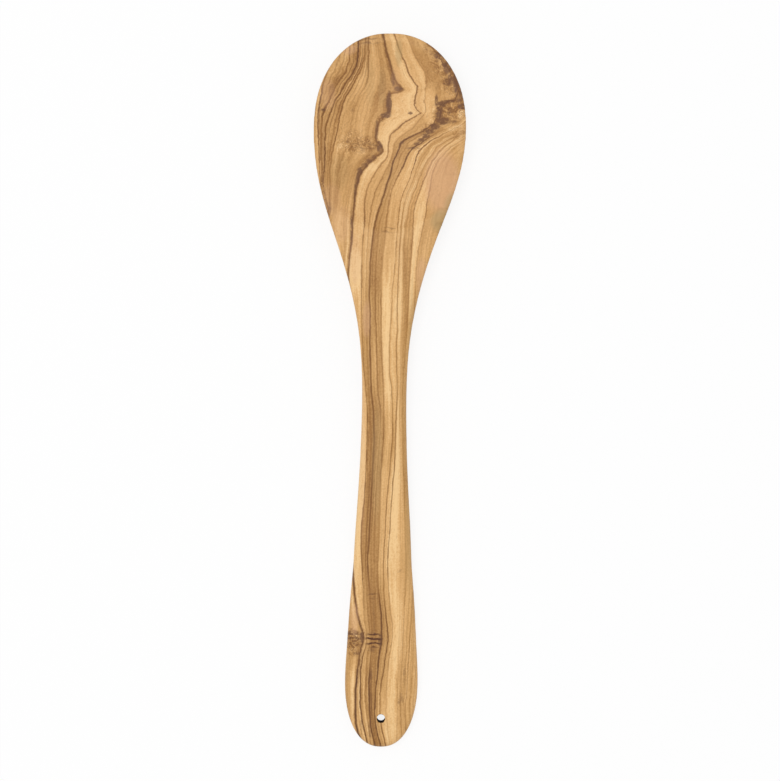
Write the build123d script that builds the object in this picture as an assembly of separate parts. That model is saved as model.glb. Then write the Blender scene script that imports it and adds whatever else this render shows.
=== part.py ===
from build123d import *
from math import acos, cos, pi, radians, sin, sqrt
import os

from scipy.interpolate import CubicSpline, PchipInterpolator

os.makedirs("parts", exist_ok=True)

# A cooking spoon carved from one piece of olive wood. It lies on its back, bowl towards +Y and hollow
# towards +Z. The origin is under the middle of its length, on the surface that it lies on.

# Lengths along the spoon, in millimetres. A station is measured from the tip of the bowl.
overall_length = 300.0
bowl_widest_station = 39.5
shoulder_station = 90.0
neck_station = 152.0
grip_end_length = 28.0
rest_from_end = 12.0

# Widths, and how far the handle's middle stands to the left of the bowl's
bowl_width = 64.0
neck_width = 18.8
grip_width = 30.8
bowl_sway = 1.2

# Heights
bowl_height = 13.0
rim_thickness = 3.0
shoulder_thickness = 9.7
neck_thickness = 8.6
neck_lift = 2.9
grip_thickness = 7.5
rim_crown = 0.05
handle_crown = 0.7

# Hollow of the bowl
hollow_depth = 8.8
hollow_start = 3.4
hollow_end = 83.0
hollow_rear_length = 14.0
hollow_sway = 0.3
rim_land = 2.4
rim_edge_radius = 1.2

# Hanging hole
hole_diameter = 3.5
hole_from_end = 12.4
hole_edge_bevel = 0.2
cut_overrun = 5.0

# How full the rounded ends are in plan: 2 is an ellipse, and more is squarer
bowl_fullness = 2.15
grip_fullness = 2.25
hollow_rear_fullness = 2.0

# The outline's points from the widest part of the bowl to the neck, and on to the widest part of the grip
flank_place_shares = (0.14, 0.28, 0.42, 0.56, 0.70, 0.84)
flank_width_shares = (0.94, 0.76, 0.515, 0.29, 0.124, 0.03)
handle_place_shares = (0.19, 0.40, 0.61, 0.82)
handle_width_shares = (0.067, 0.283, 0.54, 0.817)

# The underside of the bowl, from the tip to where it rests and on to the shoulder
belly_front_shares = (0.10, 0.28, 0.60)
belly_front_lift_shares = (0.70, 0.43, 0.12)
belly_back_shares = (0.30, 0.62)
belly_back_lift_shares = (0.17, 0.62)

# How far the thin rim runs from the widest part of the bowl towards the shoulder
rim_end_share = 0.6

# Turns round a rounded end at which it is sawn across, in degrees, and the saw cuts between the ends
cap_turns = (2.5, 7, 12, 17, 22, 28, 36, 47, 60, 74, 90)
shoulder_cuts = 12
handle_cuts = 6

# Arcs that a cross-section is drawn with: under its belly, round each side and over its top
belly_arcs = 7
side_arcs = 5
top_arcs = 3


def between(start, end, share):
    return start + (end - start) * share


def batten(points, ends="clamped"):
    """A smooth line through a few points, as a bent batten gives."""
    stations, values = zip(*sorted(points))
    return CubicSpline(stations, values, bc_type=ends)


def eased(points):
    """A line through a few points that never swings past them."""
    stations, values = zip(*sorted(points))
    return PchipInterpolator(stations, values)


def cap(share, fullness):
    """Width share of a rounded end, at a share of the way from its tip to its widest part."""
    return (1 - (1 - min(share, 1)) ** fullness) ** (1 / fullness)


# Plan outline
bowl_half, neck_half, grip_half = bowl_width / 2, neck_width / 2, grip_width / 2
grip_widest_station = overall_length - grip_end_length

side_line = batten(
    [(bowl_widest_station, bowl_half), (neck_station, neck_half), (grip_widest_station, grip_half)]
    + [
        (between(bowl_widest_station, neck_station, place), between(neck_half, bowl_half, width))
        for place, width in zip(flank_place_shares, flank_width_shares)
    ]
    + [
        (between(neck_station, grip_widest_station, place), between(neck_half, grip_half, width))
        for place, width in zip(handle_place_shares, handle_width_shares)
    ]
)
middle_line = eased(
    [(0, 0), (bowl_widest_station, 0), (shoulder_station, -bowl_sway), (overall_length, -bowl_sway)]
)


def half_width(station):
    if station < bowl_widest_station:
        return bowl_half * cap(station / bowl_widest_station, bowl_fullness)
    if station > grip_widest_station:
        return grip_half * cap((overall_length - station) / grip_end_length, grip_fullness)
    return float(side_line(station))


# Side profile: the top of the spoon, its underside and the rounded edge between them
neck_top = neck_lift + neck_thickness
shoulder_lift = bowl_height - shoulder_thickness
tip_lift = bowl_height - rim_thickness - 2 * rim_crown
rim_end = between(bowl_widest_station, shoulder_station, rim_end_share)

top_line = eased(
    [(0, bowl_height), (shoulder_station, bowl_height), (neck_station, neck_top)]
    + [(overall_length, grip_thickness)]
)
underside_line = batten(
    [(0, tip_lift), (bowl_widest_station, 0), (shoulder_station, shoulder_lift)]
    + [(neck_station, neck_lift), (overall_length - rest_from_end, 0), (overall_length, 0)]
    + [
        (bowl_widest_station * place, tip_lift * lift)
        for place, lift in zip(belly_front_shares, belly_front_lift_shares)
    ]
    + [
        (between(bowl_widest_station, shoulder_station, place), shoulder_lift * lift)
        for place, lift in zip(belly_back_shares, belly_back_lift_shares)
    ],
    "not-a-knot",
)
crown_line = eased(
    [(0, rim_crown), (rim_end, rim_crown), (neck_station, handle_crown), (overall_length, handle_crown)]
)
edge_radius_line = eased(
    [(0, rim_thickness / 2), (rim_end, rim_thickness / 2), (neck_station, neck_thickness / 2 - handle_crown)]
    + [(overall_length, grip_thickness / 2 - handle_crown)]
)


def section(station):
    """The spoon sawn across: a crowned top and a bellied underside, joined by a full round on each side."""
    from_end = min(station, overall_length - station)
    full_radius = float(edge_radius_line(station))
    nose = sqrt(1 - (1 - min(from_end / full_radius, 1)) ** 2)
    radius = full_radius * nose
    half = half_width(station)
    edge_height = float(top_line(station) - crown_line(station)) - full_radius
    rise = (full_radius + float(crown_line(station))) * nose
    fall = (edge_height - float(underside_line(station))) * nose
    middle, y = float(middle_line(station)), overall_length / 2 - station
    reach = half - radius

    def flat_radius(height):
        """Radius of the arc over or under the middle that runs smoothly into the round sides."""
        return (height**2 + reach**2 - radius**2) / (2 * (height - radius))

    def along_arc(x, z, arc_radius, start, end, arcs):
        turns = [between(start, end, half_arc / (2 * arcs)) for half_arc in range(2 * arcs)]
        return [(x + arc_radius * cos(turn), y, z + arc_radius * sin(turn)) for turn in turns]

    belly_radius, top_radius = flat_radius(fall), flat_radius(rise)
    low_turn = acos(reach / (belly_radius - radius))
    high_turn = acos(reach / (top_radius - radius))
    belly_centre, top_centre = edge_height - fall + belly_radius, edge_height + rise - top_radius
    points = (
        along_arc(middle, belly_centre, belly_radius, low_turn - pi, -low_turn, belly_arcs)
        + along_arc(middle + reach, edge_height, radius, -low_turn, high_turn, side_arcs)
        + along_arc(middle, top_centre, top_radius, high_turn, pi - high_turn, top_arcs)
        + along_arc(middle - reach, edge_height, radius, pi - high_turn, pi + low_turn, side_arcs)
    )
    points.append(points[0])
    return Wire([ThreePointArc(*points[first : first + 3]) for first in range(0, len(points) - 1, 2)])


def cap_stations(length):
    """Distances from a rounded end at which it is sawn across, closer together towards the end."""
    return [length * (1 - cos(radians(turn))) for turn in cap_turns]


# Blank: the whole spoon before its bowl is hollowed
stations = (
    cap_stations(bowl_widest_station)
    + [between(bowl_widest_station, neck_station, cut / shoulder_cuts) for cut in range(1, shoulder_cuts)]
    + [between(neck_station, grip_widest_station, cut / handle_cuts) for cut in range(handle_cuts)]
    + [overall_length - gap for gap in reversed(cap_stations(grip_end_length))]
)
blank = Solid.make_loft([section(station) for station in stations])

# Hollow: a belly turned about a line over the bowl, whose mouth keeps a narrow land inside the outline
mouth_half = bowl_half - rim_land
sweep_radius = (mouth_half**2 + hollow_depth**2) / (2 * hollow_depth)
sweep_height = sweep_radius - hollow_depth
front_length = bowl_widest_station - hollow_start
rear_start = hollow_end - hollow_rear_length


def mouth_half_width(station):
    side = mouth_half if station < bowl_widest_station else half_width(station) - rim_land
    front_share = (station - hollow_start) / front_length
    rear_share = (hollow_end - station) / hollow_rear_length
    return side * cap(front_share, bowl_fullness) * cap(rear_share, hollow_rear_fullness)


def hollow_floor(station):
    """The lowest point of the hollow at a station, which gives its mouth the right width there."""
    depth = sqrt(sweep_height**2 + mouth_half_width(station) ** 2) - sweep_height
    return Vector(-hollow_sway, overall_length / 2 - station, bowl_height - depth)


hollow_stations = (
    [hollow_start + gap for gap in cap_stations(front_length)]
    + [between(bowl_widest_station, rear_start, 1 / 2)]
    + [hollow_end - gap for gap in reversed(cap_stations(hollow_rear_length))]
)
low_points = [hollow_floor(station) for station in hollow_stations]
front_out = low_points[0] + (low_points[0] - low_points[1]).normalized() * cut_overrun
rear_out = low_points[-1] + (low_points[-1] - low_points[-2]).normalized() * cut_overrun
axis_height = bowl_height + sweep_height
hollow_profile = Spline(front_out, *low_points, rear_out) + Polyline(
    rear_out, (-hollow_sway, rear_out.Y, axis_height), (-hollow_sway, front_out.Y, axis_height), front_out
)
hollow = revolve(make_face(hollow_profile), Axis((-hollow_sway, 0, axis_height), (0, 1, 0)))
hollowed = blank - hollow
hollow_face = hollowed.faces().sort_by_distance(hollow_floor(bowl_widest_station))[0]
bowl = fillet(hollow_face.edges(), rim_edge_radius)

# Hanging hole, drilled through the grip near its end, with the edge at both faces taken off by a cone
hole_station = overall_length - hole_from_end
hole_top, hole_foot = float(top_line(hole_station)), float(underside_line(hole_station))
hole_radius = hole_diameter / 2
cone_radius = hole_radius + hole_edge_bevel + cut_overrun
drill_profile = Polyline(
    (0, 0, hole_foot - cut_overrun),
    (cone_radius, 0, hole_foot - cut_overrun),
    (hole_radius, 0, hole_foot + hole_edge_bevel),
    (hole_radius, 0, hole_top - hole_edge_bevel),
    (cone_radius, 0, hole_top + cut_overrun),
    (0, 0, hole_top + cut_overrun),
    close=True,
)
drill = Pos(-bowl_sway, overall_length / 2 - hole_station) * revolve(make_face(drill_profile), Axis.Z)
spoon = bowl - drill

export_step(spoon, "parts/spoon.step")
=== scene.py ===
import math

import bmesh
import bpy
import numpy as np
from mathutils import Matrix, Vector
from mathutils.bvhtree import BVHTree


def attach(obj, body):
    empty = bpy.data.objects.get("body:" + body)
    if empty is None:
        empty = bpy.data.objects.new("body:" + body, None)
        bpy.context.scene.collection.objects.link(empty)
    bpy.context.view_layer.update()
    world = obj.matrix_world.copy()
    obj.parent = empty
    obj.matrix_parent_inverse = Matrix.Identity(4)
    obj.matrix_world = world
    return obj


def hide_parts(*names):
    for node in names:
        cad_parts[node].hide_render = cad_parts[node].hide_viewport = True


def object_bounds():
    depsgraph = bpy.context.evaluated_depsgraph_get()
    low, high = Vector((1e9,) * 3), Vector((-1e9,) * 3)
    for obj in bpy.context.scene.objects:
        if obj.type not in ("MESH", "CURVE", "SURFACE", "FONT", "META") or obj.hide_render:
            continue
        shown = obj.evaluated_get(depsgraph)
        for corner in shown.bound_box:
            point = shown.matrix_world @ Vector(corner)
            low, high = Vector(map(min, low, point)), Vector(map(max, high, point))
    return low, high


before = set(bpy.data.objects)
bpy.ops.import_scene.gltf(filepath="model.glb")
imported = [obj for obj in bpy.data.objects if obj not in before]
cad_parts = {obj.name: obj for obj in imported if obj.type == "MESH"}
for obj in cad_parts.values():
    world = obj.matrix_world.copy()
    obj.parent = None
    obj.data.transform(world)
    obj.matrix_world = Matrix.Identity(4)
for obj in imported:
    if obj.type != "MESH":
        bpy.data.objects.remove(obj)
cad_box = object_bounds()

# Spoon: one piece of olive wood, sawn, carved and sanded smooth, then wiped with oil. What shows is its
# grain, which runs from the tip of the bowl to the end of the handle, bends round a knot in the bowl and
# another near the grip, and turns almost black where the tree laid down its heartwood.
MM = 0.001
facet_size = 0.6 * MM
sanding_strength = 0.5
sanding_passes = 5

# The hanging hole, with a narrow cone at each face. A plug fills the CAD solid's hole while the spoon is
# sanded, so that the drill then cuts it with a clean edge.
hole_place = (-1.2 * MM, -137.6 * MM)
hole_radius = 1.75 * MM
hole_bevel = 0.2 * MM
hole_foot, hole_top = 0.0, 7.86 * MM
cone_length = 0.6 * MM
plug_radius = 2.4 * MM
plug_foot, plug_top = 0.3 * MM, 7.5 * MM
turned_sides = 64

# Each growth line is given by where it runs: x for a height y along the spoon, both in millimetres. Its
# ink says how dark it is at a height, its breadth how many millimetres it reaches to each side, and its
# tone how pale the wood is between it and the next line to the right, from 0 to 1. Its rings say into how
# many parts thinner lines cut the wood up to that next line, and how dark those are at a height.
growth_lines = {
    "left_rim": {
        "path": {150: -24, 143: -22, 135: -26, 128: -28.2, 118: -29.8, 112: -30.2, 105: -29.6, 92: -28.9,
                 86: -28.4, 80: -27, 76: -26, 70: -27, 50: -24, 25: -19, 0: -18, -150: -24},
        "ink": {150: 0.2, 130: 0.5, 125: 0.9, 95: 0.7, 80: 0.8, 74: 0.8},
        "tone": {140: 0.6, 128: 0.5, 122: 0.62, 112: 0.5, 95: 0.6},
        "breadth": 0.7,
        "rings": (3, {150: 0.5, 140: 0.7, 126: 0.5, 118: 0.3, 100: 0.5, 80: 0.4}),
    },
    "left_hook": {
        "path": {150: -17.2, 138: -17.3, 134: -18.7, 130: -21.5, 126: -23.5, 122: -25.5, 118: -27.6,
                 114: -28.4, 105: -28.6, 92: -28.4, 86: -28.2, 80: -26.9, 70: -26.8, 50: -23.5, 25: -18.5,
                 0: -17.5, -150: -23},
        "ink": {150: 0.5, 135: 0.6, 122: 0.7, 117: 0.9, 110: 0.4, 74: 0.4},
        "tone": {145: 0.5, 132: 0.35, 118: 0.5, 100: 0.5},
        "breadth": 0.6,
        "rings": (2, {150: 0.8, 128: 0.8, 120: 0.4, 100: 0.5}),
    },
    "left_black": {
        "path": {150: -13.8, 140: -13.6, 136: -14.3, 133: -16, 130: -18.3, 126: -20.5, 122: -22.8,
                 118: -24.5, 114: -26, 110: -27, 104: -27.4, 98: -27.1, 92: -27.6, 86: -27.9, 80: -26.6,
                 76: -25.3, 70: -26.4, 50: -23, 25: -18, 0: -17, -150: -22},
        "ink": {150: 1.0, 137: 1.0, 130: 0.8, 110: 0.7, 100: 0.9, 76: 0.8},
        "tone": {145: 0.6, 130: 0.4, 118: 0.5, 100: 0.45},
        "breadth": 0.65,
        "rings": (3, {150: 0.8, 134: 1.0, 118: 0.85, 108: 0.6, 100: 0.4, 80: 0.3}),
    },
    "left_fan": {
        "path": {150: -10.5, 140: -11, 136: -12, 132: -13.8, 128: -16, 124: -18.3, 120: -20, 116: -21,
                 112: -21.7, 108: -22.3, 104: -23.2, 100: -24, 94: -24.8, 84: -25, 76: -24.6, 70: -25.8,
                 50: -22.5, 25: -17.5, 0: -16.5, -150: -21},
        "ink": {150: 0.3, 134: 0.5, 126: 0.75, 106: 0.7, 98: 0.4, 80: 0.5},
        "tone": {145: 0.7, 132: 0.65, 120: 0.6, 108: 0.65, 100: 0.6, 80: 0.6},
        "breadth": 0.55,
        "rings": (3, {150: 0.8, 136: 0.8, 126: 0.5, 116: 0.2, 104: 0.3, 80: 0.2}),
    },
    "feather": {
        "path": {150: -9.3, 138: -9.2, 132: -9.4, 128: -10.5, 124: -13, 120: -15, 112: -16.2, 108: -16.5,
                 104: -17.5, 100: -19.5, 95: -21, 90: -21.8, 80: -22.8, 74: -23.5, 70: -24.5, 50: -21.5,
                 25: -16.5, 0: -15.8, -150: -20},
        "ink": {150: 0.6, 131: 0.6, 126: 0.2, 104: 0.3, 96: 0.4, 86: 0.25, 76: 0.2},
        "tone": {145: 0.7, 132: 0.62, 124: 0.62, 118: 0.68, 108: 0.64, 100: 0.66, 92: 0.5, 84: 0.62,
                 70: 0.75, -90: 0.7, -108: 0.5},
        "breadth": 0.6,
        "rings": (4, {150: 0.25, 138: 0.1, 120: 0.25, 108: 0.15, 90: 0.2, 60: 0.1}),
    },
    "olive_shade": {
        "path": {150: -6, 145: -5.5, 140: -4.8, 134: -4, 130: -4.2, 127: -5, 124: -6.5, 118: -8, 112: -10,
                 106: -10.5, 103: -9.5, 100: -9.5, 97: -12.5, 93: -15, 90: -16, 80: -18, 70: -19,
                 60: -18.6, 50: -19, 30: -16, 0: -15.2, -40: -16, -150: -14},
        "ink": {150: 0.15, 128: 0.2, 118: 0.1, 100: 0.05, 60: 0.2},
        "tone": {150: 0.5, 140: 0.44, 128: 0.48, 122: 0.48, 115: 0.6, 105: 0.58, 96: 0.42, 88: 0.52,
                 75: 0.68, 60: 0.7, 40: 0.7, 0: 0.6, -40: 0.8, -90: 0.72, -106: 0.58, -114: 0.58,
                 -122: 0.78},
        "breadth": 0.5,
        "rings": (3, {150: 0.2, 130: 0.15, 110: 0.1, 90: 0.25, 60: 0.1}),
    },
    "heart": {
        "path": {150: -3.5, 145: -2.5, 141: -1.5, 137: 0, 134: 0.6, 130: 2.4, 128: 4.2, 127: 5.4, 126: 3,
                 125.2: 0, 122: -0.9, 118: -0.6, 116.5: -2.6, 113.5: -4.6, 110: -5.6, 107: -6, 105: -5,
                 103: -3.4, 101: -3.1, 99: -4.8, 96.5: -8, 93: -11.2, 90: -12.7, 87: -13.6, 83: -14.2,
                 78: -14.8, 68: -15.3, 62: -15.6, 57: -16.4, 48: -16.9, 30: -15.5, 0: -14.6, -40: -14.4,
                 -70: -14.2, -75: -13.8, -82: -13.2, -88: -12.5, -94: -11.5, -99: -10, -102.5: -8.5,
                 -106: -9.3, -110: -10.2, -115: -10.8, -120: -11.5, -126: -12, -135: -12, -140: -11.7,
                 -144: -10.8, -148: -9},
        "ink": {150: 0.9, 136: 0.85, 128: 0.7, 124: 0.6, 112: 0.75, 100: 0.8, 90: 0.85, 60: 0.8, 48: 0.7,
                40: 0.3, -70: 0.6, -80: 0.9, -104: 0.9, -112: 0.8, -120: 1.0, -148: 0.95},
        "tone": {150: 0.72, 128: 0.74, 124: 0.74, 116: 0.76, 104: 0.88, 94: 0.86, 85: 0.82, 60: 0.78,
                 40: 0.76, 25: 0.6, 5: 0.55, -5: 0.75, -20: 0.85, -70: 0.8, -100: 0.75, -112: 0.8,
                 -140: 0.74},
        "breadth": 1.0,
        "rings": (2, {150: 0.2, 120: 0.0, 100: 0.1, 85: 0.15, 60: 0.1, 40: 0.2, 0: 0.2, -90: 0.1,
                      -110: 0.5, -148: 0.4}),
    },
    "brown_thread": {
        "path": {150: 1.2, 145: 3, 141: 4.5, 137: 6.5, 133: 8, 130: 10, 128.5: 11.3, 126: 11.2, 124: 10.5,
                 121: 10.3, 119: 11.2, 117.3: 12.8, 115.5: 10, 114: 7, 111.5: 3.8, 109.5: 1.6, 108: 0.1,
                 105: -0.4, 99: -0.9, 97: -2.2, 94.5: -4.4, 92: -6, 90: -7, 87: -8.5, 84: -9.5, 80: -10.3,
                 70: -10.1, 62: -10.8, 50: -11.2, 35: -11, 20: -10.6, 12: -10.2, 5: -9.4, 0: -8.9,
                 -5: -8.3, -15: -8, -25: -8.2, -35: -8.5, -45: -9, -55: -10, -65: -10.2, -75: -9.6,
                 -85: -9, -96: -8.5, -100: -7.8, -104: -7.4, -108: -8, -112: -9.3, -118: -10, -131: -10,
                 -137: -9.3, -142: -8.3, -148: -6.8},
        "ink": {150: 0.6, 118: 0.75, 108: 0.6, 96: 0.5, 86: 0.45, 72: 0.7, 60: 0.43, 40: 0.54, 20: 0.43,
                0: 0.5, -10: 0.65, -75: 0.68, -90: 0.42, -100: 0.17, -112: 0.75, -120: 0.9, -148: 0.9},
        "tone": {150: 0.68, 130: 0.76, 118: 0.76, 110: 0.7, 104: 0.78, 96: 0.7, 90: 0.6, 80: 0.62,
                 65: 0.76, 50: 0.7, 36: 0.55, 20: 0.45, 0: 0.42, -20: 0.3, -70: 0.3, -80: 0.5, -100: 0.45,
                 -112: 0.62, -140: 0.6},
        "breadth": 0.6,
        "rings": (2, {150: 0.1, 100: 0.1, 40: 0.2, 0: 0.25, -20: 0.15, -110: 0.3, -140: 0.4}),
    },
    "upper_curl": {
        "path": {150: 6, 142: 9.5, 138: 12, 134: 14.2, 130: 15, 122: 14.2, 118: 14.9, 115: 13, 111: 9.5,
                 107: 4, 105: 2, 100: 1.2, 95: -0.6, 90: -3, 85: -5.4, 80: -7, 75: -7.8, 70: -8.4, 60: -9,
                 40: -9.5, 20: -8.9, 0: -7.8, -20: -6.6, -60: -8.2, -75: -8.6, -96: -7, -104: -6,
                 -112: -7.6, -130: -8, -148: -5.5},
        "ink": {150: 0.2, 140: 0.35, 118: 0.4, 108: 0.3, 96: 0.3, 84: 0.5, 74: 0.4, 60: 0.14, -148: 0.21},
        "tone": {150: 0.55, 140: 0.5, 133: 0.52, 126: 0.6, 119: 0.66, 112: 0.66, 100: 0.6, 90: 0.66,
                 80: 0.66, 65: 0.78, 50: 0.72, 36: 0.55, 20: 0.42, 0: 0.4, -20: 0.3, -70: 0.3, -80: 0.45,
                 -100: 0.35, -112: 0.5, -140: 0.5},
        "breadth": 0.45,
        "rings": (2, {150: 0.1, 110: 0.1, 95: 0.3, 60: 0.2, 0: 0.2, -60: 0.2}),
    },
    "burl": {
        "path": {150: 12, 143: 18, 137: 23, 131: 26.5, 126: 28.5, 122.5: 27, 121: 23, 119: 20.8,
                 115: 21.4, 113: 19, 111.5: 17, 109.5: 14, 108: 10, 106.5: 7, 104.5: 4.5, 100: 3, 97: 1.6,
                 93: 0.8, 87: -1, 81: -2.6, 77: -4, 74: -5, 68: -6.3, 62: -7, 54: -7.7, 45: -7.9, 40: -8,
                 32: -7.5, 20: -7.6, 10: -7.2, 0: -6.8, -8: -5.8, -20: -5.3, -29: -5.8, -40: -6,
                 -52: -6.7, -62: -7, -71: -7.7, -80: -7, -92: -6, -100: -5.4, -112: -5.8, -123: -6.5,
                 -136: -6, -141: -5.5, -148: -3.8},
        "ink": {150: 0.4, 140: 0.9, 90: 1.0, 78: 0.85, 65: 0.8, 55: 0.72, -75: 0.81, -90: 0.42, -112: 0.5,
                -120: 0.95, -148: 0.95},
        "tone": {140: 0.55, 126: 0.4, 120: 0.5, 112: 0.6, 100: 0.55, 92: 0.66, 80: 0.62, 66: 0.42,
                 45: 0.37, 38: 0.5, 10: 0.6, -10: 0.45, -40: 0.38, -75: 0.4, -95: 0.3, -112: 0.4,
                 -140: 0.3},
        "breadth": 0.9,
        "rings": (2, {150: 0.2, 126: 0.3, 112: 0.4, 95: 0.35, 60: 0.2, 0: 0.25, -120: 0.35}),
    },
    "shaft_olive": {
        "path": {150: 14, 143: 21, 137: 26, 131: 30, 122: 32, 115: 26, 111: 19, 108: 13, 105: 8, 100: 5,
                 95: 3.4, 90: 1.4, 80: -1.2, 70: -4, 60: -4.8, 50: -5.5, 38: -5.3, 25: -4.9, 15: -4.5,
                 5: -4.2, 0: -3.9, -4: -3.2, -8: -2.5, -15: -2.6, -25: -3.2, -40: -4, -60: -4.6, -90: -4,
                 -104: -3.6, -120: -4.4, -141: -4.2, -148: -2.6},
        "ink": {150: 0.2, 105: 0.3, 90: 0.2, 60: 0.22, 48: 0.29, 40: 0.54, 5: 0.5, -10: 0.58, -16: 0.14,
                -148: 0.26},
        "tone": {140: 0.5, 120: 0.5, 112: 0.62, 100: 0.5, 92: 0.66, 80: 0.66, 66: 0.45, 45: 0.37,
                 38: 0.55, 10: 0.58, -10: 0.45, -40: 0.38, -75: 0.36, -95: 0.35, -112: 0.45, -140: 0.4},
        "breadth": 0.5,
        "rings": (2, {150: 0.1, 112: 0.3, 95: 0.3, 60: 0.15, 0: 0.2, -60: 0.15, -120: 0.3}),
    },
    "right_purple": {
        "path": {150: 16, 143: 24, 137: 29, 131: 33, 120: 36, 112: 27, 107: 16.5, 105: 13.8, 103: 10,
                 100.5: 8, 98: 7, 95: 5.5, 93: 4.5, 88: 2.2, 84.5: 0.7, 80: 0, 72: -1, 66: -1.5, 60: -2,
                 52: -2.7, 45: -3, 35: -3, 25: -2.9, 15: -2.4, 8: -2, 2: -1.6, -5: -1.4, -15: -1.3,
                 -20: -1.5, -28: -2, -35: -2.5, -60: -2.8, -75: -3.4, -82: -3, -88: -2.3, -94: -1.5,
                 -104: -1.2, -107: -1.5, -111: -2.4, -121: -3, -125: -3.6, -136: -4, -141: -3.3,
                 -145: -2.5, -149: -1.2},
        "ink": {150: 0.2, 110: 0.3, 107.5: 0.6, 105: 0.95, 94: 0.9, 88: 0.5, 70: 0.45, 60: 0.14, 46: 0.22,
                40: 0.5, 10: 0.43, -8: 0.29, -16: 0.58, -34: 0.58, -45: 0.29, -80: 0.42, -90: 0.9,
                -108: 0.95, -149: 0.95},
        "tone": {120: 0.5, 108: 0.72, 100: 0.82, 90: 0.82, 80: 0.76, 66: 0.68, 55: 0.7, 45: 0.85,
                 38: 0.97, 0: 0.95, -10: 0.6, -30: 0.55, -36: 0.7, -72: 0.7, -82: 0.4, -95: 0.36,
                 -110: 0.48, -135: 0.52},
        "breadth": 0.7,
        "rings": (2, {150: 0.1, 112: 0.2, 95: 0.3, 60: 0.1, 40: 0.0, -20: 0.1, -110: 0.3, -140: 0.2}),
    },
    "twin_left": {
        "path": {150: 18, 140: 30, 131: 36, 120: 40, 111: 29, 106: 17.8, 104: 15, 101.5: 12.5, 98.5: 11.3,
                 93: 9.8, 90: 8.6, 87: 7.3, 84: 6, 80: 4.9, 75: 4.2, 65: 3.4, 55: 2.8, 50: 2.5, 43: 1.7,
                 31: 1.4, 27: 1.05, 20: 0.7, 10: 0.7, 6: 1, 2: 1.8, -5: 2.2, -19: 2.5, -25: 2, -31: 1.6,
                 -36: 1.2, -41: 0.7, -46: 0.3, -52: 0, -60: -0.2, -66: -0.6, -72: -0.8, -85: -0.5, -90: 0,
                 -95: 0.6, -100: 1.2, -104: 1.5, -108: 1, -112: 0.3, -118: -0.3, -122: -1.2, -127: -1.7,
                 -135: -1.7, -141: -1, -149: 0.9},
        "ink": {150: 0.2, 109.5: 0.3, 107.5: 0.5, 106: 0.85, 96: 0.85, 90: 0.4, 80: 0.5, 60: 0.36,
                20: 0.36, 0: 0.47, -20: 0.5, -72: 0.58, -84: 0.34, -96: 0.8, -106: 0.85, -120: 0.75,
                -135: 0.34, -141: 0.68, -149: 0.68},
        "tone": {120: 0.5, 106: 0.82, 96: 0.84, 86: 0.84, 66: 0.82, 60: 0.9, 20: 0.9, 5: 0.85, -10: 0.85,
                 -22: 0.5, -32: 0.85, -72: 0.85, -84: 0.54, -104: 0.54, -120: 0.66, -145: 0.78},
        "breadth": 0.45,
        "rings": (2, {150: 0.1, 106: 0.3, 80: 0.25, 60: 0.1, 0: 0.05, -148: 0.1}),
    },
    "twin_right": {
        "path": {150: 20, 140: 34, 131: 40, 120: 43, 110: 31, 106: 20.8, 102.5: 16.3, 99: 13.7, 95: 11.9,
                 91: 10.8, 87.5: 9.4, 84: 7.8, 80: 6.6, 75: 5.7, 67: 5, 60: 4.5, 50: 4.2, 36: 3.8, 25: 4,
                 20: 3.6, 10: 3.9, 0: 4.3, -10: 3.9, -20: 3.6, -27: 3.6, -33: 3.3, -38: 2.8, -46: 2.3,
                 -52: 1.8, -57: 1.8, -62: 1.3, -72: 0.8, -78: 1.1, -85: 1.5, -92: 2.3, -98: 3.2,
                 -103: 3.2, -108: 2.6, -113: 1.8, -120: 1.2, -135: 0.8, -149: 2.5},
        "ink": {150: 0.2, 100: 0.3, 86: 0.35, 66: 0.4, 58: 0.54, 10: 0.5, -10: 0.61, -70: 0.61, -80: 0.51,
                -92: 0.34, -104: 0.34, -114: 0.42, -128: 0.21, -149: 0.17},
        "tone": {120: 0.5, 106: 0.7, 90: 0.76, 80: 0.82, 62: 0.78, 55: 0.88, 20: 0.85, 0: 0.82, -25: 0.9,
                 -40: 0.97, -90: 0.9, -130: 0.82, -149: 0.75},
        "breadth": 0.5,
        "rings": (3, {150: 0.1, 106: 0.3, 80: 0.25, 60: 0.15, 0: 0.1, -60: 0.03, -148: 0.1}),
    },
    "brown_band": {
        "path": {150: 22, 140: 38, 131: 44, 120: 46, 110: 35, 106: 25, 103: 20, 99: 17.2, 95: 14.4,
                 91: 13, 87: 11.6, 82: 9.6, 78: 8.4, 70: 7, 60: 6.3, 45: 6.3, 30: 6.2, 20: 5.8, 5: 5.5,
                 -10: 5.4, -30: 5.8, -60: 6.2, -90: 6.4, -110: 6, -130: 5.8, -149: 5.5},
        "ink": {150: 0.2, 90: 0.3, 66: 0.3, 36: 0.22, 10: 0.14, -60: 0.04, -100: 0.09, -130: 0.26,
                -149: 0.17},
        "tone": {120: 0.55, 106: 0.7, 95: 0.74, 85: 0.68, 68: 0.5, 60: 0.32, 30: 0.34, 18: 0.5, 0: 0.62,
                 -30: 0.7, -60: 0.7, -75: 0.6, -92: 0.72, -120: 0.58, -130: 0.5, -149: 0.68},
        "breadth": 0.5,
        "rings": (2, {150: 0.1, 106: 0.4, 80: 0.35, 60: 0.25, 0: 0.15, -60: 0.1, -120: 0.15, -148: 0.1}),
    },
    "pale_left": {
        "path": {150: 26, 140: 42, 131: 48, 120: 50, 112: 39, 107: 28.5, 103.5: 24, 101: 21, 97: 18,
                 94: 16.8, 91: 15.3, 88: 14, 82: 12, 79: 10.9, 75: 10.3, 65: 9.9, 55: 9.3, 42: 8.6, 27: 8,
                 20: 7.5, 10: 6.9, 0: 6.4, -10: 6.5, -30: 7, -50: 7.8, -70: 8.6, -80: 8.6, -92: 8,
                 -108: 7.5, -130: 7, -137: 7.2, -149: 8},
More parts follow.
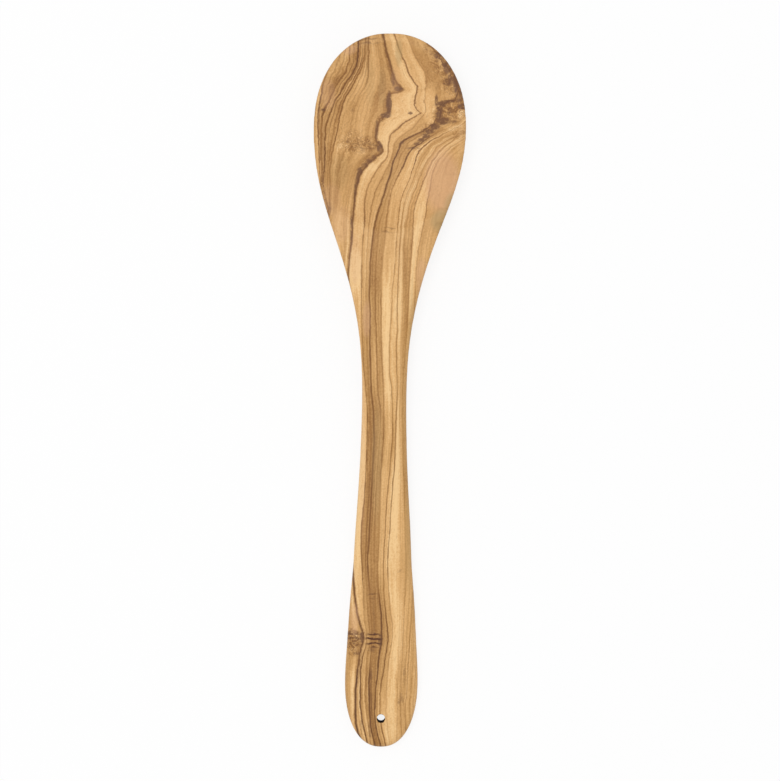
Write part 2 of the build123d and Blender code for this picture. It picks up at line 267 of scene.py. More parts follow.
        "ink": {150: 0.3, 104: 0.5, 94: 0.65, 80: 0.55, 66: 0.5, 55: 0.47, 36: 0.43, 20: 0.29, -50: 0.22,
                -90: 0.3, -125: 0.34, -149: 0.26},
        "tone": {120: 0.6, 108: 0.85, 90: 0.95, 60: 0.95, 40: 0.9, 28: 0.6, 0: 0.5, -40: 0.5, -75: 0.6,
                 -95: 0.66, -149: 0.6},
        "breadth": 0.5,
        "rings": (2, {150: 0.1, 106: 0.2, 80: 0.1, 0: 0.2, -60: 0.15, -120: 0.25}),
    },
    "pale_right": {
        "path": {150: 30, 140: 46, 131: 52, 120: 55, 110: 38, 106: 31, 103: 26.5, 99.5: 22.4, 96: 19.8,
                 91: 18, 84: 16.9, 80: 16, 75: 15.4, 70: 14.5, 65: 13.4, 60: 12.5, 53: 11.8, 43: 11.3,
                 30: 11, 15: 10.5, 0: 10.5, -20: 11, -60: 12, -80: 12, -92: 11.3, -100: 10.7, -110: 10.3,
                 -118: 9.8, -125: 9.5, -131: 9, -137: 8.9, -143: 9.4, -149: 10},
        "ink": {150: 0.3, 104: 0.3, 94: 0.5, 84: 0.6, 60: 0.36, 40: 0.4, 0: 0.22, -90: 0.34, -110: 0.42,
                -149: 0.34},
        "tone": {120: 0.7, 104: 0.74, 90: 0.72, 76: 0.66, 68: 0.55, 58: 0.66, 40: 0.66, 0: 0.56, -80: 0.6,
                 -92: 0.68, -128: 0.68, -149: 0.6},
        "breadth": 0.5,
        "rings": (3, {150: 0.1, 106: 0.15, 80: 0.12, 0: 0.2, -60: 0.15, -120: 0.25}),
    },
}

# Wood beyond the outermost lines goes on as if another line ran this many millimetres off
outer_spacing = 5.0
# Two neighbouring tones run into each other over this many millimetres
tone_blend = 1.2
# How far the lines waver to each side at a height, in millimetres
unsteady = {150: 0.7, 128: 1.1, 90: 0.9, 60: 0.5, 0: 0.3, -80: 0.35, -110: 0.6, -150: 0.4}
# How far the grain slants sideways with depth, which carries the pattern down the sides and underneath
grain_slant = 0.35

# Marks in the wood, each an oval given by its middle, half its width, half its height and its strength.
# Burl is wild grain round a knot, stain is heartwood that spread, curl is grain rippled by a knot, and
# stripes is where the fine threads show more. Blush is pinker wood, olive is greener and pale is paler.
# A few marks are painted light and shade: the blush at (22, 88) is a painted sheen on the bowl's right
# inner wall, the olive ovals at (22, 71.5) and (26, 78) are painted shade at the bowl's rear right, and
# the curl at (0, 67.5) is a painted shade line where the bowl's hollow ends.
marks = {
    "burl": [
        (25.5, 118.5, 9, 6, 1.0), (20.5, 116, 3.5, 6, 0.9), (26.5, 131, 6.5, 9, 1.0),
        (17.5, 111, 5.5, 3, 0.6), (21.5, 138, 5.5, 7, 0.9), (17.5, 143.5, 4.5, 4, 0.7),
        (17, 133, 3, 8, 0.3), (29, 109, 4, 4, 0.4), (-13, 103.8, 10, 4.6, 0.85), (-16, 107.5, 5, 3, 0.5),
        (-8, 98.5, 4.5, 3.5, 0.4), (-13.6, -104.5, 4.4, 5.5, 1.5), (-13, -109.5, 3, 2.6, 0.9),
        (-1.2, 119.5, 2.2, 6, 0.3), (-3.5, 115, 2.5, 2, 0.5), (20, 141, 4, 3, 0.4),
    ],
    "stain": [
        (-0.5, 121.5, 1.5, 6.5, 0.8), (-1.8, 116.3, 2.8, 1.4, 0.75), (-5.5, 110, 1.0, 5.5, 0.55),
        (-4.3, 103, 1.5, 3.4, 0.6), (-6.5, 98.6, 1.7, 1.3, 0.55), (-8.6, 97, 1.8, 1.4, 0.6),
        (-10.6, 95, 1.7, 1.5, 0.6), (-12.4, 92.6, 1.5, 2.2, 0.65), (-13.3, 89.5, 1.0, 3.6, 0.6),
        (1.2, 131.5, 1.2, 4.5, 0.5), (3, 127.5, 2.7, 1.1, 0.65), (-14.3, 83, 0.7, 9, 0.5),
        (-15.7, 68, 0.8, 12, 0.5), (21.3, 120.8, 2.8, 1.4, 0.8), (25.5, 121.8, 5.5, 0.8, 0.75),
        (30.3, 119.6, 2.4, 1.6, 0.95), (20.6, 116.5, 2.0, 5.4, 0.62), (19.4, 122.4, 0.9, 3.4, 0.5),
        (22.4, 113.6, 3.6, 2.0, 0.68), (26, 113.2, 2.8, 0.9, 0.6), (18.9, 111.4, 2.8, 1.6, 0.75),
        (16.9, 109.5, 2.4, 1.3, 0.8), (15, 107.7, 2.2, 1.1, 0.8), (13.2, 106, 2.0, 1.0, 0.7),
        (11.4, 104.3, 1.8, 0.8, 0.6), (24.4, 130, 3.4, 2.6, 0.5), (27.6, 130, 1.8, 6.0, 0.8),
        (29.8, 124.5, 1.2, 4, 0.7), (23.8, 136, 2.4, 3.4, 0.6), (20.6, 140.6, 3.2, 2.2, 0.55),
        (24.6, 118, 1.2, 2.6, 0.45), (9.8, 102.4, 3.8, 0.9, 0.6), (5, 105, 1.2, 1.2, 0.5),
        (8.6, 117.3, 1.3, 0.75, 0.8), (-25, 76.5, 1.0, 5, 0.4), (-28, 117.6, 1.6, 0.8, 0.5),
        (-16, 117.5, 0.9, 1.8, 0.35), (-17.8, 104.8, 1.1, 0.8, 0.5), (-9.6, -103.5, 1.2, 2.8, 0.6),
        (-2, -104.8, 1.1, 3, 0.6), (-13.2, -101.6, 3.4, 1.2, 0.45), (-11.8, -110.2, 2.2, 0.9, 0.4),
        (-5.4, -101.6, 2.6, 0.7, 0.4), (-5.6, -109, 2.4, 1.0, 0.35), (7, -129.5, 2.0, 3.4, 0.3),
        (8.6, -118, 0.8, 9, 0.25), (6.4, -75.5, 2.2, 1.6, 0.25), (-5.6, -120, 0.8, 6, 0.4),
        (-5.8, -142, 1.0, 7, 0.35), (-9.4, -140, 0.7, 7, 0.35),
    ],
    "blush_and_sheen": [
        # The blush at (22, 88) is a painted sheen on the bowl's right inner wall; the others are pinker wood
        (0, 112, 60, 75, 0.15), (-24, 80, 5, 9, 0.5), (2, 130, 2.4, 8, 0.4), (22, 88, 9, 17, 1.1),
        (-20, 70, 5, 10, 0.5), (-17.5, 143, 4, 3, 0.8), (-26, 124, 4, 8, 0.6), (14, 48, 3, 10, 0.7),
        (-9, 30, 2, 9, 0.7), (-14, 55, 3, 14, 0.5), (-12.8, -96, 2, 8, 0.7), (-10, -30, 1.5, 40, 0.4),
    ],
    "olive": [
        # (22, 71.5) and (26, 78) are painted shade at the bowl's rear right; the rest are greener wood
        (22, 71.5, 5.5, 6, 1.1), (26, 78, 3.5, 6, 0.9), (-8.5, 130, 2.5, 12, 0.3),
        (3.4, 142, 1.8, 6.5, 0.9), (-3.5, 128, 2, 10, 0.4), (-4, -30, 2.5, 30, 0.4), (-21, 92, 5, 9, 0.3),
        (10, 20, 1.6, 30, 0.5), (9.5, -60, 1.6, 30, 0.4),
    ],
    "pale": [
        (30.6, 116, 3.4, 2.8, 1.3), (27.5, 110.6, 5.5, 1.7, 1.0), (24, 117.2, 2, 1.2, 0.7),
        (26.8, 119.6, 2, 0.8, 0.6), (-10.5, 92.5, 1.2, 3, 0.5), (-7.5, 94.5, 3, 2, 0.6),
        (16.6, 121, 3.2, 10, 1.1), (-14, 50, 3.4, 12, 0.8), (-10.5, 69, 1.4, 4, 0.4),
        (-12.5, -50, 2.6, 45, 0.7), (-13.4, -127, 2.2, 11, 0.6), (5, -100, 3.5, 22, 0.4),
        (4, -144, 5, 5, 0.3), (-12.4, -90, 2, 6, 0.5), (2, 119, 3.5, 3, 0.3), (-20, 102, 3, 2.4, 0.5),
        (-11, 105.6, 5, 1.2, 0.4), (-12, 101, 8, 1.6, 0.5), (-13.6, -127, 2.2, 14, 0.5),
        (-8.3, -130, 0.8, 14, 0.4),
    ],
    "curl": [
        (-4.6, -104.4, 4.2, 4.2, 1.0), (-13, -103.2, 3.4, 3.4, 0.6), (-11, 103.4, 8, 2.0, 0.25),
        # (0, 67.5) is a painted shade line where the bowl's hollow ends; the others ripple by a knot
        (-9, 146.6, 6.5, 1.6, 0.5), (-5, -86, 3, 1.5, 0.5), (0, 67.5, 4, 1.5, 0.4),
    ],
    "stripes": [
        (-23, 118, 11, 32, 1.0), (-15, 138, 9, 14, 1.0), (20, 100, 12, 12, 0.7), (8, 75, 8, 20, 0.5),
        (-7, -40, 3, 45, 0.5), (-6, -128, 7, 24, 1.0), (0, 20, 9, 45, 0.4), (8, -120, 6, 28, 0.7),
        (-11, 142, 6, 9, 0.6),
    ],
}
# Outer share of an oval's half width over which its mark fades away
mark_edge = 0.4


def at_heights(values, heights):
    """Values given for a few heights, drawn out to every height in straight lines between them."""
    known = sorted(values)
    return np.interp(heights, known, [values[height] for height in known])


def turned(name, profile, middle):
    """A solid turned about an upright line through `middle`, from radii and heights given foot first."""
    turns = [2 * math.pi * side / turned_sides for side in range(turned_sides)]
    circle = [(math.cos(turn), math.sin(turn)) for turn in turns]
    bm = bmesh.new()
    rings = []
    for radius, height in profile:
        places = [(middle[0] + radius * right, middle[1] + radius * up, height) for right, up in circle]
        rings.append([bm.verts.new(place) for place in places])
    for low, high in zip(rings, rings[1:]):
        for side in range(turned_sides):
            after = (side + 1) % turned_sides
            bm.faces.new((low[side], low[after], high[after], high[side]))
    bm.faces.new(rings[0][::-1])
    bm.faces.new(rings[-1])
    solid_mesh = bpy.data.meshes.new(name)
    bm.to_mesh(solid_mesh)
    bm.free()
    solid = bpy.data.objects.new(name, solid_mesh)
    bpy.context.scene.collection.objects.link(solid)
    return solid


def sanded_copy(source, name, plug, drill):
    """The CAD solid's surface, cut into even small facets and smoothed by sanding, then drilled again."""
    piece = bpy.data.objects.new(name, source.data.copy())
    piece.data.name = name
    bpy.context.scene.collection.objects.link(piece)
    filled = piece.modifiers.new("filled", "BOOLEAN")
    filled.operation = "UNION"
    filled.object = plug
    even = piece.modifiers.new("even", "REMESH")
    even.mode = "VOXEL"
    even.voxel_size = facet_size
    sanded = piece.modifiers.new("sanded", "SMOOTH")
    sanded.factor = sanding_strength
    sanded.iterations = sanding_passes
    drilled = piece.modifiers.new("drilled", "BOOLEAN")
    drilled.object = drill
    view = bpy.context.evaluated_depsgraph_get()
    mesh = bpy.data.meshes.new_from_object(piece.evaluated_get(view))
    piece.modifiers.clear()
    piece.data = mesh
    mesh.name = name
    mesh.polygons.foreach_set("use_smooth", [True] * len(mesh.polygons))
    return piece


plug = turned("hole_plug", [(plug_radius, plug_foot), (plug_radius, plug_top)], hole_place)
drill_profile = [
    (hole_radius + cone_length, hole_foot + hole_bevel - cone_length),
    (hole_radius, hole_foot + hole_bevel),
    (hole_radius, hole_top - hole_bevel),
    (hole_radius + cone_length, hole_top - hole_bevel + cone_length),
]
drill = turned("drill", drill_profile, hole_place)
spoon = sanded_copy(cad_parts["spoon"], "carved_spoon", plug, drill)
bpy.data.objects.remove(plug)
bpy.data.objects.remove(drill)

mesh = spoon.data
places = np.zeros(len(mesh.vertices) * 3)
mesh.vertices.foreach_get("co", places)
places = places.reshape(-1, 3)
x, y, z = places.T / MM

# Depth of each point below the top of the spoon, in millimetres, found by looking down from above it
lookout = cad_box[1][2] + 10 * MM
surface = BVHTree.FromPolygons([v.co for v in mesh.vertices], [p.vertices for p in mesh.polygons])
tops = [surface.ray_cast(Vector((px, py, lookout)), Vector((0, 0, -1)))[0] for px, py, _ in places]
depth = np.array([top.z / MM if top else height for top, height in zip(tops, z)]) - z
depth = np.clip(depth, 0, None)
x_grain = x + grain_slant * depth

# What each growth line says at every point's height. A row is added at each outer side for the wood
# beyond the lines, and the paths are kept a hair apart where they would cross.
hair = 0.001
outer_breadth = 0.5
half_step = 0.5
lines = list(growth_lines.values())
paths = np.array([at_heights(line["path"], y) for line in lines])
paths = np.vstack([paths[0] - outer_spacing, paths, paths[-1] + outer_spacing])
paths = np.maximum.accumulate(paths + np.arange(len(paths))[:, None] * hair, axis=0)
inks = np.array([at_heights(line["ink"], y) for line in lines])
inks = np.vstack([0 * inks[0], inks, 0 * inks[0]])
tones = np.array([at_heights(line["tone"], y) for line in lines])
tones = np.vstack([tones[0], tones[0], tones, tones[-1]])
ring_counts = np.array([1] + [line["rings"][0] for line in lines] + [1])
ring_inks = np.array([at_heights(line["rings"][1], y) for line in lines])
ring_inks = np.vstack([0 * ring_inks[0], ring_inks, 0 * ring_inks[0]])
above = np.array([at_heights(line["path"], y + half_step) for line in lines])
below = np.array([at_heights(line["path"], y - half_step) for line in lines])
slopes = (above - below) / (2 * half_step)
slopes = np.vstack([slopes[0], slopes, slopes[-1]])
breadths = np.array([outer_breadth] + [line["breadth"] for line in lines] + [outer_breadth])

# Between which two lines each point lies, and what share of the way across
everywhere = np.arange(len(x))
cell = np.clip((paths < x_grain).sum(axis=0) - 1, 0, len(paths) - 2)
gap = paths[cell + 1, everywhere] - paths[cell, everywhere]
share = (x_grain - paths[cell, everywhere]) / gap
grain = cell + share
share = np.clip(share, 0, 1)


def blended(rows):
    """At every point, what its two lines say, blended by how near it lies to each."""
    return rows[cell, everywhere] * (1 - share) + rows[cell + 1, everywhere] * share


lean = np.sqrt(1 + blended(slopes) ** 2)
from_line = np.minimum(share, 1 - share) * gap / lean
into_next = np.clip(0.5 - from_line / tone_blend, 0, 0.5)
neighbour = np.clip(cell + np.sign(share - 0.5).astype(int) + 1, 0, len(tones) - 1)
tone = tones[cell + 1, everywhere] * (1 - into_next) + tones[neighbour, everywhere] * into_next

# Distance across the grain in millimetres, as if every line ran straight at its usual place
least_spacing = 0.3
ends_from = 140
usual_places = np.median(paths[:, np.abs(y) < ends_from], axis=1) + np.arange(len(paths)) * least_spacing
across = np.interp(grain, np.arange(len(paths)), np.maximum.accumulate(usual_places))


def marked(kind):
    """How strongly the marks of a kind show at every point."""
    strongest = 0 * x
    for middle_x, middle_y, half_width, half_height, strength in marks[kind]:
        reach = np.hypot((x_grain - middle_x) / half_width, (y - middle_y) / half_height)
        strongest = np.maximum(strongest, strength * np.clip((1 - reach) / mark_edge, 0, 1))
    return strongest


from_axis = np.hypot(places[:, 0] - hole_place[0], places[:, 1] - hole_place[1])
in_hole = (from_axis < hole_radius + hole_bevel / 4).astype(float)
growth = {
    "grain": grain,
    "grain_gap": gap / lean,
    "across": across,
    "depth": depth,
    "ink": blended(inks),
    "breadth": breadths[cell] * (1 - share) + breadths[cell + 1] * share,
    "tone": tone,
    "rings": ring_counts[cell],
    "ring_ink": ring_inks[cell, everywhere],
    "unsteady": at_heights(unsteady, y),
    "bored": in_hole,
}
for kind in marks:
    growth[kind] = marked(kind)
for name, values in growth.items():
    mesh.attributes.new(name, "FLOAT", "POINT").data.foreach_set("value", values.astype(np.float32))


def linear(hex_colour):
    """A colour written as an sRGB hex value, as Blender's shaders take it."""
    parts = [int(hex_colour[start : start + 2], 16) / 255 for start in (1, 3, 5)]
    return [part / 12.92 if part <= 0.04045 else ((part + 0.055) / 1.055) ** 2.4 for part in parts] + [1]


def node(tree, kind, inputs=None, **settings):
    """Adds a shader node, sets it up, and sets its inputs or links them. A node's first output is linked."""
    made = tree.nodes.new("ShaderNode" + kind)
    for name, value in settings.items():
        setattr(made, name, value)
    for socket, value in (inputs or {}).items():
        if isinstance(value, bpy.types.Node):
            value = value.outputs[0]
        if isinstance(value, bpy.types.NodeSocket):
            tree.links.new(value, made.inputs[socket])
        else:
            made.inputs[socket].default_value = value
    return made


# Oiled olive wood, sanded fine and wiped with oil: gold to brown bands, thin dark threads that follow the
# growth lines and near-black lines of heartwood, under a satin sheen with the fine pores still open. Wood
# has an IOR near 1.5. The roughness and the low specular level are matched to the photo's dull sheen.
wood_colours = {0.0: "#8b6033", 0.25: "#b08048", 0.5: "#cc9d61", 0.75: "#e2b275", 1.0: "#f5cc92"}
thin_line_brown = "#986730"
heartwood_brown = "#55301a"
ring_brown = "#7d4f25"
stain_brown = "#65422c"
squiggle_brown = "#6b442c"
# Pinker wood, and in one blush oval a painted sheen on the bowl's right inner wall
pink_wood_and_sheen = "#d9aa86"
# Greener wood, and in two olive ovals painted shade at the bowl's rear right
green_wood_and_shade = "#b29565"
# The hanging hole's wall: end grain darkened by oil, and painted shade for the dark inside of the hole
end_grain_and_hole_shade_brown = "#24160d"
satin_low, satin_high = 0.44, 0.56

wood = bpy.data.materials.new("oiled_olive_wood")
wood.use_nodes = True
tree = wood.node_tree
tree.nodes.clear()
seen = {name: node(tree, "Attribute", attribute_name=name).outputs["Fac"] for name in growth}
position = node(tree, "TexCoord").outputs["Object"]
height = node(tree, "SeparateXYZ", {0: position}).outputs["Y"]
height_mm = node(tree, "Math", {0: height, 1: 1 / MM}, operation="MULTIPLY")

# The growth lines waver in waves about 4 mm long, by up to as many millimetres as `unsteady` says and up
# to 4 mm more in a burl
waver_size = 4 * MM
burl_waver = 4.0
ups_and_downs = node(
    tree, "TexNoise", {"Vector": position, "Scale": 1 / waver_size, "Detail": 5.0, "Roughness": 0.7}
)
waver_turn = node(tree, "MapRange", {"Value": ups_and_downs, "To Min": -1.0, "To Max": 1.0})
waver_reach = node(
    tree, "Math", {0: seen["burl"], 1: burl_waver, 2: seen["unsteady"]}, operation="MULTIPLY_ADD"
)
waver = node(tree, "Math", {0: waver_turn, 1: waver_reach}, operation="MULTIPLY")
waver_share = node(tree, "Math", {0: waver, 1: seen["grain_gap"]}, operation="DIVIDE")
flow = node(tree, "Math", {0: seen["grain"], 1: waver_share}, operation="ADD")

# Distance to the nearest growth line in millimetres, the line itself, and the darker wood along it, which
# reaches 3.5 times as far
halo_breadths = 3.5
line_share = node(tree, "Math", {0: flow, 1: 0.5}, operation="PINGPONG")
line_distance = node(tree, "Math", {0: line_share, 1: seen["grain_gap"]}, operation="MULTIPLY")
line_mask = node(
    tree,
    "MapRange",
    {"Value": line_distance, "From Max": seen["breadth"], "To Min": 1.0, "To Max": 0.0},
    interpolation_type="SMOOTHSTEP",
)
halo_reach = node(tree, "Math", {0: seen["breadth"], 1: halo_breadths}, operation="MULTIPLY")
halo = node(tree, "MapRange", {"Value": line_distance, "From Max": halo_reach, "To Min": 1.0, "To Max": 0.0})
halo = node(tree, "Math", {0: halo, 1: seen["ink"]}, operation="MULTIPLY")

# Rings, the thinner lines between them, which reach 0.42 mm to each side. Each ring's wood has a tone of
# its own.
ring_breadth = 0.42
ring_phase = node(tree, "Math", {0: flow, 1: seen["rings"]}, operation="MULTIPLY")
ring_share = node(tree, "Math", {0: ring_phase, 1: 0.5}, operation="PINGPONG")
ring_gap = node(tree, "Math", {0: seen["grain_gap"], 1: seen["rings"]}, operation="DIVIDE")
ring_distance = node(tree, "Math", {0: ring_share, 1: ring_gap}, operation="MULTIPLY")
ring_mask = node(
    tree,
    "MapRange",
    {"Value": ring_distance, "From Max": ring_breadth, "To Min": 1.0, "To Max": 0.0},
    interpolation_type="SMOOTHSTEP",
)
ring_index = node(tree, "Math", {0: ring_phase}, operation="FLOOR")
ring_dice = node(tree, "TexWhiteNoise", {"W": ring_index}, noise_dimensions="1D")
ring_tint = node(tree, "Math", {0: ring_dice, 1: 0.5}, operation="SUBTRACT")

# Bands 3 mm across and threads 0.9 mm across, drawn out 25 times as long along the spoon and 3 times as
# deep, and flecks 0.7 mm across. Real threads are about 0.2 mm, too fine to show, so they are drawn coarser.
band_mm, thread_mm = 3.0, 0.9
fleck_size = 0.7 * MM
drawn_out = 25
depth_pace = 0.3
across_wavered = node(tree, "Math", {0: seen["across"], 1: waver}, operation="ADD")
along = node(tree, "Math", {0: height_mm, 1: 1 / drawn_out}, operation="MULTIPLY")
inward = node(tree, "Math", {0: seen["depth"], 1: depth_pace}, operation="MULTIPLY")
with_grain = node(tree, "CombineXYZ", {"X": across_wavered, "Y": along, "Z": inward})
bands = node(tree, "TexNoise", {"Vector": with_grain, "Scale": 1 / band_mm, "Detail": 3.0, "Roughness": 0.6})
threads = node(
    tree, "TexNoise", {"Vector": with_grain, "Scale": 1 / thread_mm, "Detail": 4.0, "Roughness": 0.6}
)
flecks = node(tree, "TexNoise", {"Vector": position, "Scale": 1 / fleck_size, "Detail": 2.0})
stripe_boost = 2.2
striped = node(tree, "Math", {0: seen["stripes"], 1: stripe_boost, 2: 1.0}, operation="MULTIPLY_ADD")

# Burls: eddies 3 mm across
eddy_size = 3 * MM
eddies = node(
    tree,
    "TexNoise",
    {"Vector": position, "Scale": 1 / eddy_size, "Detail": 5.0, "Roughness": 0.62, "Distortion": 1.2},
)
mottle = node(
    tree, "MapRange", {"Value": eddies, "From Min": 0.3, "From Max": 0.7, "To Min": -0.6, "To Max": 0.25}
)

# How pale the wood is: the tone between two lines, swung up and down by all of these. Noise keeps near its
# middle value of 0.5, so each use of it stretches a range round that.
paleness = seen["tone"]
for texture, swing, boost in ((bands, 0.2, 1.0), (threads, 0.15, striped), (flecks, 0.12, 1.0)):
    swung = node(
        tree,
        "MapRange",
        {"Value": texture, "From Min": 0.25, "From Max": 0.75, "To Min": -swing, "To Max": swing},
    )
    paleness = node(tree, "Math", {0: swung, 1: boost, 2: paleness}, operation="MULTIPLY_ADD")
for mask, swing in ((halo, -0.12), (seen["pale"], 0.28), (ring_tint, 0.2), (mottle, seen["burl"])):
    paleness = node(tree, "Math", {0: mask, 1: swing, 2: paleness}, operation="MULTIPLY_ADD")
ramp = node(tree, "ValToRGB", {"Fac": paleness})
stops = ramp.color_ramp.elements
stops[0].position, stops[0].color = 0.0, linear(wood_colours[0.0])
stops[1].position, stops[1].color = 1.0, linear(wood_colours[1.0])
for place in (0.25, 0.5, 0.75):
    stops.new(place).color = linear(wood_colours[place])

# Squiggles that follow the eddies in a burl
squiggle_turns = 7.0
eddy_turns = node(tree, "Math", {0: eddies, 1: squiggle_turns}, operation="MULTIPLY")
eddy_share = node(tree, "Math", {0: eddy_turns, 1: 0.5}, operation="PINGPONG")
squiggles = node(tree, "MapRange", {"Value": eddy_share, "From Max": 0.2, "To Min": 0.9, "To Max": 0.0})

# Rings fade in and out along the spoon
ring_fade = node(
    tree, "MapRange", {"Value": bands, "From Min": 0.38, "From Max": 0.6, "To Min": 0.25, "To Max": 1.0}
)
ring_shade = node(tree, "Math", {0: ring_fade, 1: seen["ring_ink"]}, operation="MULTIPLY")

# Ripples 1.9 mm apart that run across the grain beside a knot, and where the bowl's hollow ends, as a
# painted shade line. At a scale of 1 a wave texture repeats every pi / 10.
ripple_spacing = 1.875 * MM
ripple_scale = math.pi / 10 / ripple_spacing
waves = node(
    tree,
    "TexWave",
    {"Vector": position, "Scale": ripple_scale, "Distortion": 4.5, "Detail": 3.0, "Detail Scale": 2.0},
    bands_direction="Y",
)
ripples = node(tree, "MapRange", {"Value": waves.outputs["Fac"], "From Min": 0.4, "From Max": 0.8})

# Stains have streaky edges, and in a burl they break up into crumbs 1.6 mm across
crumb_size = 1.6 * MM
crumbs = node(
    tree,
    "TexNoise",
    {"Vector": position, "Scale": 1 / crumb_size, "Detail": 4.0, "Roughness": 0.6, "Distortion": 0.8},
)
streaky = node(
    tree, "MapRange", {"Value": eddies, "From Min": 0.35, "From Max": 0.65, "To Min": 0.4, "To Max": 1.6}
)
crumbly = node(
    tree, "MapRange", {"Value": crumbs, "From Min": 0.35, "From Max": 0.65, "To Min": 0.3, "To Max": 1.7}
)
patchy = node(tree, "Mix", {"Factor": seen["burl"], "A": streaky, "B": crumbly}, data_type="FLOAT")
stained = node(tree, "Math", {0: patchy, 1: seen["stain"]}, operation="MULTIPLY")
stains = node(tree, "MapRange", {"Value": stained, "From Min": 0.15, "From Max": 0.7})

# A faint growth line is thin brown, and a dark one is heartwood. From an ink of 0.7 on it hides the wood
# under it.
ink_contrast = 2.4
hiding_ink = 0.7
blackness = node(tree, "Math", {0: seen["ink"], 1: ink_contrast}, operation="POWER")
line_colour = node(
    tree,
    "Mix",
    {"Factor": blackness, "A": linear(thin_line_brown), "B": linear(heartwood_brown)},
    data_type="RGBA",
).outputs["Result"]
line_strength = node(tree, "MapRange", {"Value": seen["ink"], "From Max": hiding_ink})

# Open pores: streaks about 0.3 mm wide and 3 mm long, drawn coarser than the real 0.1 mm so that they show
pore_width, pore_length = 0.3, 3.0
pore_x = node(tree, "Math", {0: seen["across"], 1: 1 / pore_width}, operation="MULTIPLY")
pore_y = node(tree, "Math", {0: height_mm, 1: 1 / pore_length}, operation="MULTIPLY")
pore_place = node(tree, "CombineXYZ", {"X": pore_x, "Y": pore_y, "Z": seen["depth"]})
speckle = node(tree, "TexNoise", {"Vector": pore_place, "Scale": 1.0, "Detail": 1.0})
pores = node(tree, "MapRange", {"Value": speckle, "From Min": 0.6, "From Max": 0.72})

# All of this laid over the wood in turn, each with its mask, its strength and its colour. The drilled wall
# of the hanging hole comes before the pores: it is painted near black, partly as end grain that drinks the
# oil and partly as painted shade for the dark inside of the hole.
colour = ramp.outputs["Color"]
for mask, strength, paint in (
    (ring_mask, ring_shade, linear(ring_brown)),
    (line_mask, line_strength, line_colour),
    (stains, 0.85, linear(stain_brown)),
    (squiggles, seen["burl"], linear(squiggle_brown)),
    (ripples, seen["curl"], linear(heartwood_brown)),
    (seen["blush_and_sheen"], 0.45, linear(pink_wood_and_sheen)),
    (seen["olive"], 0.55, linear(green_wood_and_shade)),
    (seen["bored"], 1.0, linear(end_grain_and_hole_shade_brown)),
    (pores, 0.16, linear(heartwood_brown)),
):
    amount = node(tree, "Math", {0: mask, 1: strength}, operation="MULTIPLY")
    laid_over = node(tree, "Mix", {"Factor": amount, "A": colour, "B": paint}, data_type="RGBA")
    colour = laid_over.outputs["Result"]

# The oil leaves the threads satin, the pores a little rougher and the end grain matt
roughness = node(
    tree,
    "MapRange",
    {"Value": threads, "From Min": 0.3, "From Max": 0.7, "To Min": satin_low, "To Max": satin_high},
)
for mask, rougher in ((pores, 0.12), (seen["bored"], 0.45)):
    roughness = node(tree, "Math", {0: mask, 1: rougher, 2: roughness}, operation="MULTIPLY_ADD")

# Sanding leaves the threads standing up to 0.05 mm proud, with the pores as far below them
relief = node(tree, "Math", {0: pores, 1: -1.0, 2: threads}, operation="MULTIPLY_ADD")
bump = node(tree, "Bump", {"Height": relief, "Strength": 0.5, "Distance": 0.05 * MM})
shader = node(
    tree,
    "BsdfPrincipled",
    {"Base Color": colour, "Roughness": roughness, "Normal": bump, "IOR": 1.48, "Specular IOR Level": 0.2},
)
node(tree, "OutputMaterial", {"Surface": shader})
mesh.materials.clear()
mesh.materials.append(wood)
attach(spoon, "root")
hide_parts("spoon")

# Table: a sheet of white board under the spoon, which fills the view. It lies 0.2 mm below the spoon, so
# that the two don't touch. Looked at, it is mostly plain white, with the rest left for the spoon's shadow.
table_half = 1.5
table_drop = 0.2 * MM
table_whiteness = 0.85
plain_white = "#ffffff"
card_white = "#fdfdfd"


def looked_at(tree):
    """1 for what the camera sees, also by way of a reflection, and 0 for the light that falls on things."""
    path = node(tree, "LightPath")
    return node(
        tree, "Math", {0: path.outputs["Is Camera Ray"], 1: path.outputs["Is Glossy Ray"]}, operation="ADD"
    )


corner_signs = ((-1, -1), (1, -1), (1, 1), (-1, 1))
corners = [(right * table_half, up * table_half, 0) for right, up in corner_signs]
table_mesh = bpy.data.meshes.new("white_table")
table_mesh.from_pydata(corners, [], [(0, 1, 2, 3)])
table = bpy.data.objects.new("white_table", table_mesh)
bpy.context.scene.collection.objects.link(table)
table.location.z = -table_drop

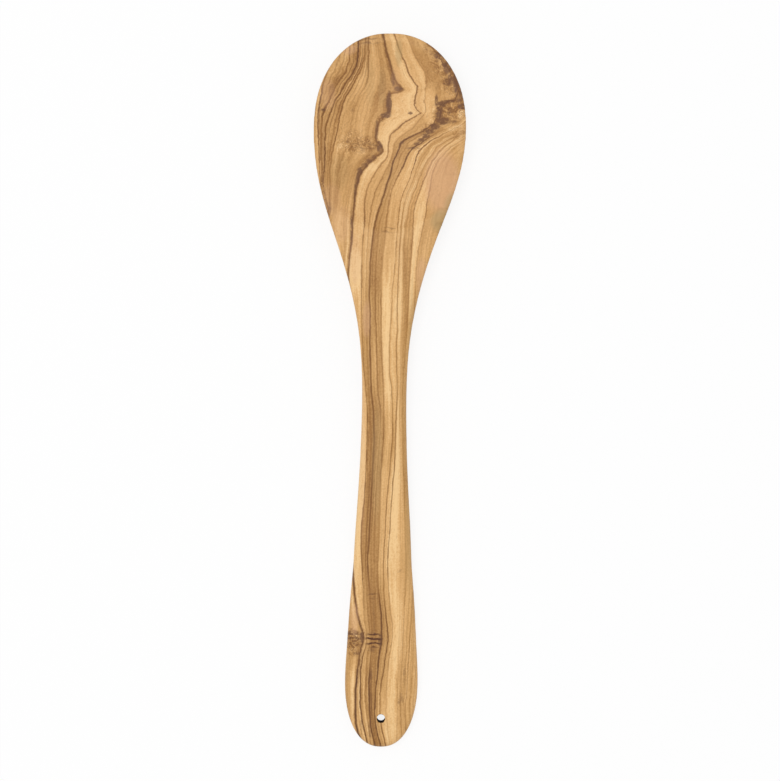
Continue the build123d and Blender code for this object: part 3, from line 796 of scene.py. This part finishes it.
# White board: matt coated card, with no grain or gloss to take the eye from the spoon
board = bpy.data.materials.new("white_board")
board.use_nodes = True
tree = board.node_tree
tree.nodes.clear()
card = node(tree, "BsdfDiffuse", {"Color": linear(card_white)})
white = node(tree, "Emission", {"Color": linear(plain_white), "Strength": 1.0})
veil = node(tree, "Math", {0: looked_at(tree), 1: table_whiteness}, operation="MULTIPLY")
veiled = node(tree, "MixShader", {"Fac": veil, 1: card, 2: white})
node(tree, "OutputMaterial", {"Surface": veiled})
table_mesh.materials.append(board)

# Light: one large soft lamp high over the spoon, and a pale room round it that the camera sees as white
lamp_width = 1.0
lamp_watts = 11.4
lamp_place = Vector((-0.3, 0.1, 1.7))
room_strength = 0.62

lamp_data = bpy.data.lights.new("soft_lamp", "AREA")
lamp_data.shape = "DISK"
lamp_data.size = lamp_width
lamp_data.energy = lamp_watts
lamp = bpy.data.objects.new("soft_lamp", lamp_data)
bpy.context.scene.collection.objects.link(lamp)
lamp.location = lamp_place
lamp.rotation_euler = (-lamp_place).to_track_quat("-Z", "Y").to_euler()

room = bpy.data.worlds.new("pale_room")
room.use_nodes = True
tree = room.node_tree
tree.nodes.clear()
air = node(tree, "Background", {"Color": linear(plain_white), "Strength": room_strength})
wall = node(tree, "Background", {"Color": linear(plain_white), "Strength": 1.0})
shown = node(tree, "MixShader", {"Fac": looked_at(tree), 1: air, 2: wall})
node(tree, "OutputWorld", {"Surface": shown})
bpy.context.scene.world = room

# Camera: straight above the spoon, as the photograph was taken, and turned and moved a little, as the
# photograph is framed
eye_place = (1.18 * MM, 0.34 * MM, 1.05)
view_angle = math.radians(17.88)
roll = math.radians(0.6)
eye_data = bpy.data.cameras.new("eye")
eye_data.sensor_fit = "HORIZONTAL"
eye_data.angle = view_angle
eye = bpy.data.objects.new("eye", eye_data)
bpy.context.scene.collection.objects.link(eye)
eye.location = eye_place
eye.rotation_euler = (0, 0, roll)
bpy.context.scene.camera = eye
bpy.context.scene.view_settings.view_transform = "Standard"
